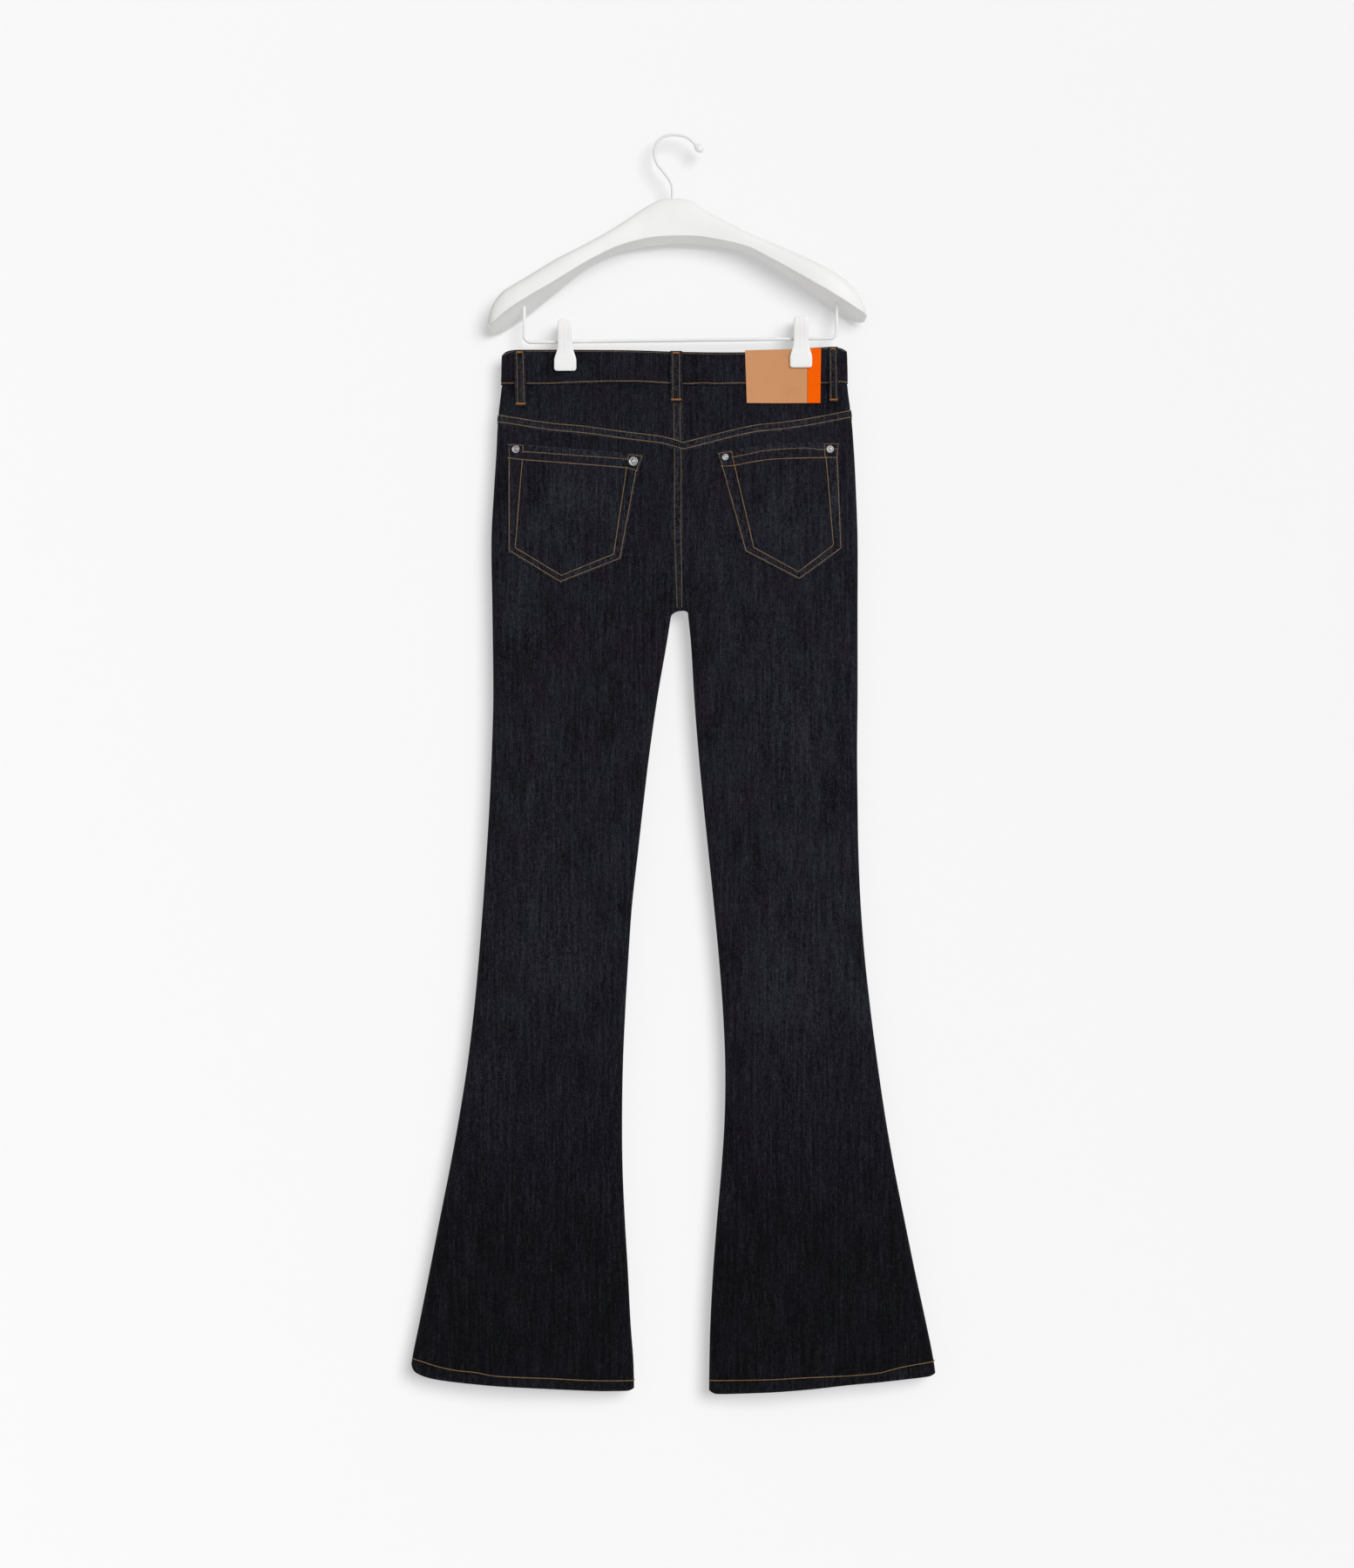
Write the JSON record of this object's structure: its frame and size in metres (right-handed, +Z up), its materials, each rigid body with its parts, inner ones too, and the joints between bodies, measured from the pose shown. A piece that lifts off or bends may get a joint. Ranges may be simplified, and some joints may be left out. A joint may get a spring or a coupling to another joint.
{
  "type": "flared jeans on a clip hanger",
  "caption": "Dark flared jeans hung flat from a contoured plastic hanger by the waistband, with patch pockets, a pointed yoke and wide open hems.",
  "frame": {"origin": "inside of the hook's crown, on the wire, where a rail or peg holds the hanger", "axes": "+Z up, +X to the wearer's right across the width, +Y out of the jeans' front; the back faces -Y"},
  "size_m": [0.5831, 0.0407, 1.4009],
  "materials": {
    "denim": "dark indigo twill, matt",
    "zip_tape": "woven tape with a metal chain, matt",
    "tan_patch": "tan, matt",
    "orange_patch": "orange, satin",
    "steel": "nickel-coloured, satin",
    "hanger_plastic": "warm white, satin",
    "clip_plastic": "white, slightly glossy",
    "coated_wire": "white coated wire, satin",
    "spring_steel": "bare steel"
  },
  "bodies": {
    "root": {"back_panel_left": "denim", "back_panel_right": "denim", "front_panel_left": "denim", "front_panel_right": "denim", "yoke_left": "denim", "yoke_right": "denim", "waistband": "denim", "back_pocket_left": "denim", "back_pocket_right": "denim", "pocket_facing_left": "denim", "pocket_facing_right": "denim", "belt_loop_back_left": "denim", "belt_loop_back_centre": "denim", "belt_loop_back_right": "denim", "belt_loop_front_left": "denim", "belt_loop_front_right": "denim", "fly_zip": "zip_tape", "waist_patch": "tan_patch", "patch_strip": "orange_patch", "rivet_1": "steel", "rivet_2": "steel", "rivet_3": "steel", "rivet_4": "steel", "waist_button": "steel", "hanger_body": "hanger_plastic", "hanger_hook": "coated_wire", "hanger_bar": "coated_wire", "clip_left_back": "clip_plastic", "clip_left_front": "clip_plastic", "clip_right_back": "clip_plastic", "clip_right_front": "clip_plastic", "clip_left_spring": "spring_steel", "clip_right_spring": "spring_steel"}
  },
  "joints": []
}
